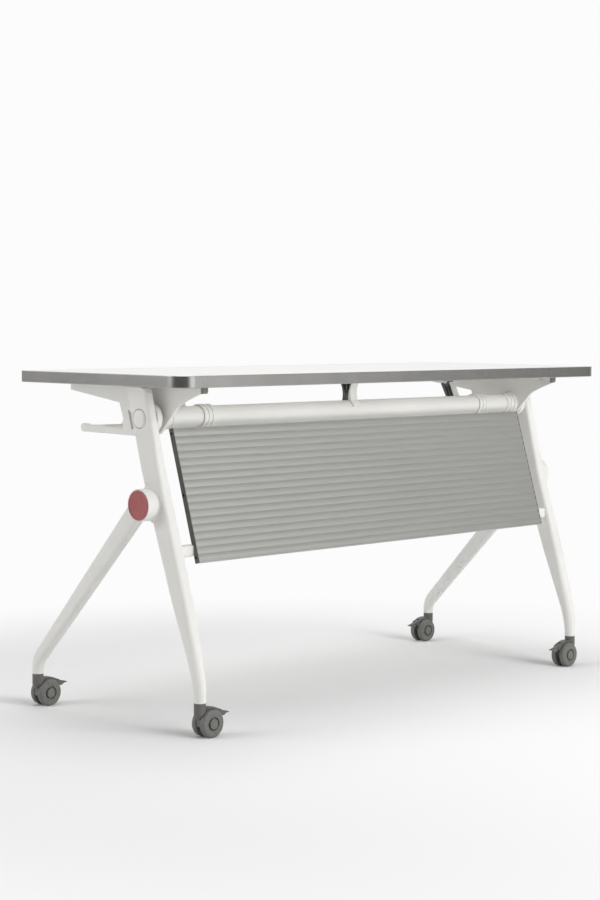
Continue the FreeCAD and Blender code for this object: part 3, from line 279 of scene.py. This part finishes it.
def black_oxide_steel():
    """Blackened steel screws: near black, oily satin, with paler rubbed spots."""
    material, tree, at = new_material("black_oxide_steel")
    colour = add(tree, "ShaderNodeMix", between(("#161616", "#2B2A29")),
                 {MIX_SHARE: cloudy(tree, at, 3, detail=3)})
    surface(tree, {"IOR": 1.5}, colour, cloudy(tree, at, 2, low=0.38, high=0.55))
    return material


def moulded_plastic(name, tones, grain_mm, rough, depth_mm):
    """Injection moulded plastic, with the mould's grain drawn at this width."""
    material, tree, at = new_material(name)
    colour = add(tree, "ShaderNodeMix", between(tones), {MIX_SHARE: cloudy(tree, at, 30)})
    # Real grain is 0.2 mm wide, drawn at this wider width so that it shows
    relief = add(tree, "ShaderNodeBump", {"Strength": 0.15, "Distance": depth_mm * MILLIMETRE},
                 {"Height": cloudy(tree, at, grain_mm)})
    roughness = cloudy(tree, at, 2 * grain_mm, low=rough - MOULDED_ROUGH_SPREAD,
                       high=rough + MOULDED_ROUGH_SPREAD)
    surface(tree, {"IOR": 1.5}, colour, roughness, relief)
    return material


def coated_socket():
    """Caster sockets of grey nylon, with the legs' white coat above the legs' ends."""
    material, tree, at = new_material("grey_nylon_socket_with_coated_sleeve")
    height = add(tree, "ShaderNodeSeparateXYZ", links={"Vector": at}).outputs["Z"]
    # A flaw of the solids: the rear sockets come through the legs' bends, where grey would show more
    coated = add(tree, "ShaderNodeMath", {"operation": "GREATER_THAN", OPERAND_B: LEG_END},
                 {OPERAND_A: height})
    nylon = add(tree, "ShaderNodeMix", between(NYLON_TONES), {MIX_SHARE: cloudy(tree, at, 30)})
    coat = add(tree, "ShaderNodeMix", between(COAT_TONES), {MIX_SHARE: cloudy(tree, at, 140)})
    colour = add(tree, "ShaderNodeMix", {"data_type": "RGBA"},
                 {MIX_SHARE: coated.outputs["Value"], COLOUR_A: nylon.outputs[COLOUR_MIXED],
                  COLOUR_B: coat.outputs[COLOUR_MIXED]})
    # Real grain is 0.2 mm wide, drawn at 1.2 mm so that it shows
    relief = add(tree, "ShaderNodeBump", {"Strength": 0.12, "Distance": 0.06 * MILLIMETRE},
                 {"Height": cloudy(tree, at, 1.2)})
    surface(tree, {"IOR": 1.5}, colour, cloudy(tree, at, 2.4, low=0.38, high=0.48), relief)
    return material


def tread_rubber(name, tones):
    """Soft rubbery plastic: matt, mottled by floor dust that the surface holds."""
    material, tree, at = new_material(name)
    colour = add(tree, "ShaderNodeMix", between(tones), {MIX_SHARE: cloudy(tree, at, 7, detail=5)})
    # Real moulded grain is 0.3 mm wide, drawn at 1.5 mm so that it shows
    relief = add(tree, "ShaderNodeBump", {"Strength": 0.12, "Distance": 0.06 * MILLIMETRE},
                 {"Height": cloudy(tree, at, 1.5, detail=3)})
    roughness = cloudy(tree, at, 4, low=0.52, high=0.68)
    surface(tree, {"IOR": 1.52, "Specular IOR Level": 0.35}, colour, roughness, relief)
    return material


FINISHES = {
    "white_laminate": white_melamine(),
    "grey_edge_band": grey_edge_band(),
    "white_coated_casting": white_powder_coat("powder_coated_cast_aluminium"),
    "white_coated_steel": white_powder_coat("powder_coated_steel_tube"),
    "bright_steel": zinc_plated_steel(),
    "black_screw": black_oxide_steel(),
    "silver_panel": silver_coat(),
    # Spark-eroded grain gives the dark mouldings a dry, even matt
    "dark_grey_plastic": moulded_plastic("moulded_dark_grey_polypropylene", ("#666662", "#5C5C58"),
                                         grain_mm=1.5, rough=0.5, depth_mm=0.08),
    # Polished mould faces leave the caps smooth, with a soft sheen
    "red_cap": moulded_plastic("moulded_dusty_red_abs", ("#B46361", "#A85B5A"),
                               grain_mm=2.0, rough=0.32, depth_mm=0.04),
    # White covers are as smooth, with less sheen
    "white_plastic": moulded_plastic("moulded_white_abs", ("#F6F5F2", "#F0EFEB"),
                                     grain_mm=2.0, rough=0.42, depth_mm=0.04),
    # Bare nylon is milky and slightly yellow
    "natural_nylon": moulded_plastic("moulded_natural_nylon", ("#D8D4C8", "#CFCABC"),
                                     grain_mm=2.0, rough=0.4, depth_mm=0.04),
    "bumper_rubber": tread_rubber("moulded_grey_rubber", ("#8C8B88", "#7E7D7A")),
    # Glass fibres give the casters' nylon a dry sheen
    "caster_plastic": moulded_plastic("glass_filled_grey_nylon", NYLON_TONES,
                                      grain_mm=1.2, rough=0.45, depth_mm=0.08),
    "wheel_tread": tread_rubber("grey_polyurethane_tread", ("#7B7B77", "#6F6E6B")),
}


def dress_solids():
    """Gives every carried-over solid the finish of its slot, and the sockets their own."""
    for part in frame["record"]["subparts"]:
        mesh = frame["nodes"][part["node"]].data
        mesh.materials.clear()
        mesh.materials.append(FINISHES[part["material_slot"]])
    frame["nodes"]["caster_sockets"].data.materials[0] = coated_socket()


def finished_piece(name, shape, body, slot):
    """Piece made from a drawn shape, which rides on a body and has the finish of a slot."""
    mesh = bpy.data.meshes.new(name)
    shape.to_mesh(mesh)
    shape.free()
    mesh.shade_smooth()
    mesh.set_sharp_from_angle(angle=SOFT_ANGLE)
    mesh.materials.append(FINISHES[slot])
    piece = bpy.data.objects.new(name, mesh)
    bpy.context.scene.collection.objects.link(piece)
    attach(piece, body)
    return piece


def screw_head(shape, place):
    """Domed pan head that hangs under its seat, with a six-lobed socket."""
    seat = Vector(place)
    half = Vector((0, 0, SCREW_HEAD_HEIGHT / 2))
    made = bmesh.ops.create_cone(shape, cap_ends=True, segments=SCREW_HEAD_FACETS, radius1=SCREW_HEAD_RADIUS,
                                 radius2=SCREW_HEAD_RADIUS, depth=SCREW_HEAD_HEIGHT,
                                 matrix=Matrix.Translation(seat - half))
    faces = {face for vert in made["verts"] for face in vert.link_faces}
    crown = min(faces, key=lambda face: face.calc_center_median().z)
    bmesh.ops.bevel(shape, geom=list(crown.edges), affect="EDGES", offset=SCREW_CROWN,
                    segments=SCREW_CROWN_STEPS, profile=0.5, material=-1)
    crown = min(shape.faces, key=lambda face: (face.calc_center_median() - seat + 2 * half).length)
    bmesh.ops.inset_region(shape, faces=[crown], thickness=SCREW_SOCKET_WALL)
    for vert in crown.verts:
        arm = vert.co - seat
        share = 1 + SCREW_LOBE_SHARE * math.cos(SCREW_LOBES * math.atan2(arm.y, arm.x))
        vert.co.x = seat.x + arm.x * share
        vert.co.y = seat.y + arm.y * share
    floor = bmesh.ops.extrude_discrete_faces(shape, faces=[crown])["faces"][0]
    bmesh.ops.translate(shape, verts=floor.verts, vec=(0, 0, SCREW_SOCKET_DEPTH))


def worktop_screws():
    """Heads of the screws that hold brackets and handle mounts under the worktop."""
    shape = bmesh.new()
    for side in (-1, 1):
        for y in BRACKET_SCREW_YS:
            screw_head(shape, (side * BRACKET_SCREW_X, y, BRACKET_SCREW_SEAT))
        for x in MOUNT_SCREW_XS:
            screw_head(shape, (side * x, MOUNT_SCREW_Y, MOUNT_SCREW_SEAT))
    heads = finished_piece("worktop_screw_heads", shape, "top", "bright_steel")
    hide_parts("top_screws")


def pedal_ribs(corner):
    """Round-ended ribs across a brake pedal, which give the shoe a grip."""
    low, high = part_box(corner + "_front_wheel")
    centre_x = (low[0] + high[0]) / 2
    centre_z = (low[2] + high[2]) / 2
    low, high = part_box(corner + "_brake_pedal")
    middle_y = (low[1] + high[1]) / 2
    inward = 1 if centre_x < 0 else -1
    across = Matrix.Rotation(math.pi / 2, 4, "X")
    shape = bmesh.new()
    for out, rise in PEDAL_RIB_PLACES:
        place = Matrix.Translation((centre_x + inward * out, middle_y, centre_z + rise))
        bmesh.ops.create_cone(shape, cap_ends=True, segments=PEDAL_RIB_FACETS, radius1=PEDAL_RIB_RADIUS,
                              radius2=PEDAL_RIB_RADIUS, depth=PEDAL_RIB_LENGTH, matrix=place @ across)
    ends = [edge for face in shape.faces if abs(face.normal.y) > RIB_END_FACING for edge in face.edges]
    bmesh.ops.bevel(shape, geom=ends, affect="EDGES", offset=PEDAL_RIB_ROUNDING,
                    segments=PEDAL_RIB_ROUNDING_STEPS, profile=0.5, material=-1)
    finished_piece(corner + "_pedal_ribs", shape, corner + "_pedal", "caster_plastic")


def place_camera():
    """Camera at the photograph's viewing angle."""
    ahead = Vector((math.sin(CAMERA_YAW) * math.cos(CAMERA_PITCH),
                    math.cos(CAMERA_YAW) * math.cos(CAMERA_PITCH), -math.sin(CAMERA_PITCH)))
    level = Vector((math.cos(CAMERA_YAW), -math.sin(CAMERA_YAW), 0))
    above = level.cross(ahead)
    across = math.cos(CAMERA_ROLL) * level + math.sin(CAMERA_ROLL) * above
    upward = math.cos(CAMERA_ROLL) * above - math.sin(CAMERA_ROLL) * level
    turn = Matrix((across, upward, -ahead)).transposed().to_4x4()
    data = bpy.data.cameras.new("photo_camera")
    data.sensor_fit = "VERTICAL"
    data.sensor_height = SENSOR_HEIGHT_MM
    data.lens = CAMERA_FOCUS * SENSOR_HEIGHT_MM
    camera = bpy.data.objects.new("photo_camera", data)
    camera.matrix_world = Matrix.Translation(CAMERA_PLACE) @ turn
    bpy.context.scene.collection.objects.link(camera)
    bpy.context.scene.camera = camera


def soft_lamp(name, place, aim, size, power, mirrored):
    """Large square softbox that points at a spot, mirrored in shiny faces or not."""
    data = bpy.data.lights.new(name, "AREA")
    data.shape = "SQUARE"
    data.size = size
    data.energy = power
    lamp = bpy.data.objects.new(name, data)
    lamp.visible_glossy = mirrored
    lamp.location = place
    lamp.rotation_euler = (Vector(aim) - Vector(place)).to_track_quat("-Z", "Y").to_euler()
    bpy.context.scene.collection.objects.link(lamp)


def hang_lamps():
    """Soft light from the front, the left and above."""
    soft_lamp("front_softbox", place=(0.6, -4.0, 1.6), aim=(0, 0, 0.4), size=2.0, power=90,
              mirrored=False)
    soft_lamp("panel_softbox", place=(-0.9, -2.2, 2.2), aim=(-0.2, 0, 0.45), size=1.2, power=9,
              mirrored=False)
    soft_lamp("top_softbox", place=(0.2, 0.3, 4.0), aim=(0, 0, 0.4), size=2.2, power=58, mirrored=True)
    soft_lamp("left_softbox", place=(-3.6, 1.6, 1.9), aim=(0, 0, 0.4), size=2.2, power=40, mirrored=True)


def mirrored_walls(tree, at):
    """How much brighter than plain light the room is in shiny faces, by the direction they see it in."""
    facing = add(tree, "ShaderNodeVectorMath", {"operation": "DOT_PRODUCT", OPERAND_B: BRIGHT_WALL},
                 {OPERAND_A: at})
    wall = add(tree, "ShaderNodeMapRange", mapped(WALL_FACING, WALL_GAIN, "SMOOTHSTEP"),
               {"Value": facing.outputs["Value"]})
    axes = add(tree, "ShaderNodeSeparateXYZ", links={"Vector": at})
    lift = add(tree, "ShaderNodeMapRange", mapped(LIFT_SLOPE, LIFT_GAIN), {"Value": axes.outputs["Z"]})
    forward = add(tree, "ShaderNodeMath", {"operation": "MULTIPLY", OPERAND_B: -1.0},
                  {OPERAND_A: axes.outputs["Y"]})
    round_right = add(tree, "ShaderNodeMath", {"operation": "ARCTAN2"},
                      {OPERAND_A: axes.outputs["X"], OPERAND_B: forward.outputs["Value"]})
    from_gap = add(tree, "ShaderNodeMath", {"operation": "SUBTRACT", OPERAND_B: WALL_GAP},
                   {OPERAND_A: round_right.outputs["Value"]})
    beside_gap = add(tree, "ShaderNodeMath", {"operation": "ABSOLUTE"},
                     {OPERAND_A: from_gap.outputs["Value"]})
    gap = add(tree, "ShaderNodeMapRange", mapped(GAP_HALF_WIDTH, GAP_GAIN, "SMOOTHSTEP"),
              {"Value": beside_gap.outputs["Value"]})
    lifted = add(tree, "ShaderNodeMath", {"operation": "MULTIPLY"},
                 {OPERAND_A: wall.outputs["Result"], OPERAND_B: lift.outputs["Result"]})
    mirrored = add(tree, "ShaderNodeMath", {"operation": "MULTIPLY"},
                   {OPERAND_A: lifted.outputs["Value"], OPERAND_B: gap.outputs["Result"]})
    return mirrored.outputs["Value"]


def light_room():
    """Bright room that is darker behind the camera, with a plain white backdrop where the camera looks."""
    world = bpy.data.worlds.new("studio_room")
    bpy.context.scene.world = world
    world.use_nodes = True
    tree = world.node_tree
    tree.nodes.clear()
    at = add(tree, "ShaderNodeTexCoord").outputs["Generated"]
    path = add(tree, "ShaderNodeLightPath")
    toward = add(tree, "ShaderNodeVectorMath", {"operation": "DOT_PRODUCT", OPERAND_B: ROOM_OPENING},
                 {OPERAND_A: at})
    opening = add(tree, "ShaderNodeMapRange", mapped(OPENING_FACING, OPENING_LIGHT, "SMOOTHSTEP"),
                  {"Value": toward.outputs["Value"]})
    gain = add(tree, "ShaderNodeMix", {"data_type": "FLOAT", NUMBER_A: 1.0},
               {MIX_SHARE: path.outputs["Is Glossy Ray"], NUMBER_B: mirrored_walls(tree, at)})
    strength = add(tree, "ShaderNodeMath", {"operation": "MULTIPLY"},
                   {OPERAND_A: opening.outputs["Result"], OPERAND_B: gain.outputs[NUMBER_MIXED]})
    room = add(tree, "ShaderNodeBackground", {"Color": linear("#FFFFFF")},
               {"Strength": strength.outputs["Value"]})
    white = add(tree, "ShaderNodeBackground", {"Color": linear(BACKDROP), "Strength": 1.0})
    seen = add(tree, "ShaderNodeMath", {"operation": "MAXIMUM"},
               {OPERAND_A: path.outputs["Is Camera Ray"], OPERAND_B: path.outputs["Is Transmission Ray"]})
    both = add(tree, "ShaderNodeMixShader",
               links={MIX_SHARE: seen.outputs["Value"], SHADER_A: room.outputs["Background"],
                      SHADER_B: white.outputs["Background"]})
    add(tree, "ShaderNodeOutputWorld", links={"Surface": both.outputs["Shader"]})


def floor_sheet():
    """Matt paper: pale and even, white to the camera beyond the desk, with painted shade that darkens it
    toward its end behind the camera, where the room's light falls off.
    """
    material, tree, at = new_material("matt_white_floor_sheet")
    away = add(tree, "ShaderNodeVectorMath", {"operation": "DISTANCE", OPERAND_B: FLOOR_MIDDLE},
               {OPERAND_A: at})
    fade = add(tree, "ShaderNodeMapRange", mapped(FLOOR_FADE, (0.0, 1.0), "SMOOTHSTEP"),
               {"Value": away.outputs["Value"]})
    path = add(tree, "ShaderNodeLightPath")
    share = add(tree, "ShaderNodeMath", {"operation": "MULTIPLY"},
                {OPERAND_A: fade.outputs["Result"], OPERAND_B: path.outputs["Is Camera Ray"]})
    # Painted shade: the floor's colour turns dark toward the opening, standing in for the room's light
    # falling off behind the camera.
    toward = add(tree, "ShaderNodeVectorMath", {"operation": "DOT_PRODUCT", OPERAND_B: ROOM_OPENING},
                 {OPERAND_A: at})
    painted_shade = add(tree, "ShaderNodeMapRange", mapped(FLOOR_SHADE_SPAN, (0.0, 1.0)),
                    {"Value": toward.outputs["Value"]})
    colour = add(tree, "ShaderNodeMix", between((FLOOR_PALE, FLOOR_PAINTED_SHADE)),
                 {MIX_SHARE: painted_shade.outputs["Result"]})
    paper = add(tree, "ShaderNodeBsdfDiffuse", {"Roughness": 0.5}, {"Color": colour.outputs[COLOUR_MIXED]})
    white = add(tree, "ShaderNodeEmission", {"Color": linear(BACKDROP), "Strength": 1.0})
    both = add(tree, "ShaderNodeMixShader",
               links={MIX_SHARE: share.outputs["Value"], SHADER_A: paper.outputs["BSDF"],
                      SHADER_B: white.outputs["Emission"]})
    add(tree, "ShaderNodeOutputMaterial", links={"Surface": both.outputs["Shader"]})
    return material


def lay_floor():
    """Plain pale floor that fades into the white room behind the desk."""
    mesh = bpy.data.meshes.new("studio_floor")
    shape = bmesh.new()
    bmesh.ops.create_grid(shape, x_segments=1, y_segments=1, size=FLOOR_REACH)
    shape.to_mesh(mesh)
    shape.free()
    mesh.materials.append(floor_sheet())
    floor = bpy.data.objects.new("studio_floor", mesh)
    bpy.context.scene.collection.objects.link(floor)


bpy.context.scene.view_settings.view_transform = "Standard"
dress_solids()
worktop_screws()
for corner in CORNERS:
    pedal_ribs(corner)
place_camera()
hang_lamps()
light_room()
lay_floor()
